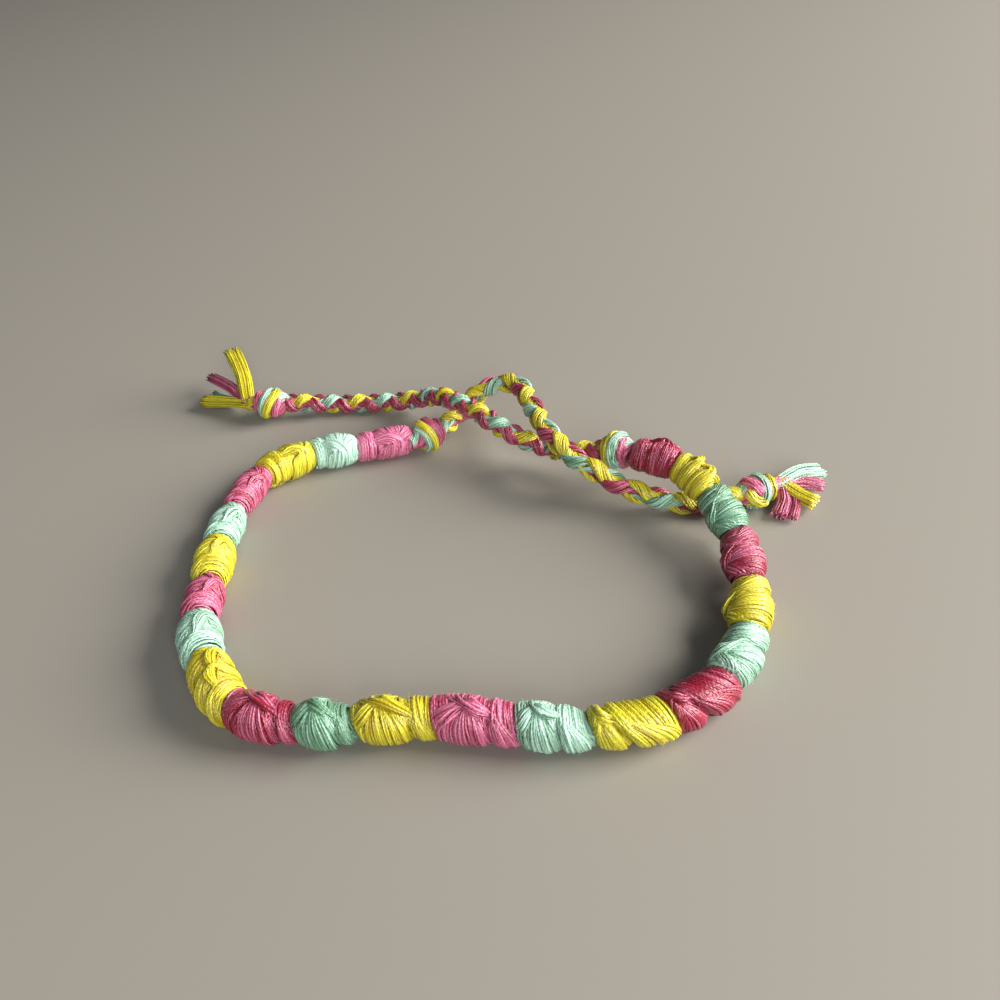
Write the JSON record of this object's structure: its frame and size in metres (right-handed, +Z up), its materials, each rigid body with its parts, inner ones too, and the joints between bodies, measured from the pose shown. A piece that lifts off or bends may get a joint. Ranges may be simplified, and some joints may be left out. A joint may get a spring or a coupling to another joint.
{
  "type": "woven friendship bracelet",
  "caption": "Round friendship bracelet of spiral half-hitch knots in pink, mint and yellow cotton floss, closed by two loosely knotted braided ties with cut tassel ends.",
  "frame": {"origin": "middle of the wrist opening, on the surface that the bracelet lies on", "axes": "+Z up out of the surface, +Y away from the camera towards the ties, +X to the camera's right"},
  "size_m": [0.085, 0.0784, 0.0085],
  "materials": {
    "pink_floss": "mercerised cotton floss, satin sheen",
    "mint_floss": "mercerised cotton floss, satin sheen",
    "yellow_floss": "mercerised cotton floss, satin sheen",
    "mixed_floss": "pink, mint and yellow cotton floss knotted together"
  },
  "bodies": {
    "root": {"pink_section_01": "pink_floss", "mint_section_02": "mint_floss", "yellow_section_03": "yellow_floss", "pink_section_04": "pink_floss", "mint_section_05": "mint_floss", "yellow_section_06": "yellow_floss", "pink_section_07": "pink_floss", "mint_section_08": "mint_floss", "yellow_section_09": "yellow_floss", "pink_section_10": "pink_floss", "mint_section_11": "mint_floss", "yellow_section_12": "yellow_floss", "pink_section_13": "pink_floss", "mint_section_14": "mint_floss", "yellow_section_15": "yellow_floss", "pink_section_16": "pink_floss", "mint_section_17": "mint_floss", "yellow_section_18": "yellow_floss", "pink_section_19": "pink_floss", "mint_section_20": "mint_floss", "yellow_section_21": "yellow_floss", "pink_section_22": "pink_floss", "end_knot_left": "mixed_floss", "end_knot_right": "mixed_floss", "tip_knot_left": "mixed_floss", "tip_knot_right": "mixed_floss", "tie_a_yellow_1": "yellow_floss", "tie_a_yellow_2": "yellow_floss", "tie_a_mint": "mint_floss", "tie_a_pink": "pink_floss", "tie_b_yellow": "yellow_floss", "tie_b_mint": "mint_floss", "tie_b_pink_1": "pink_floss", "tie_b_pink_2": "pink_floss", "tassel_left": "mixed_floss", "tassel_right": "mixed_floss"}
  },
  "joints": []
}
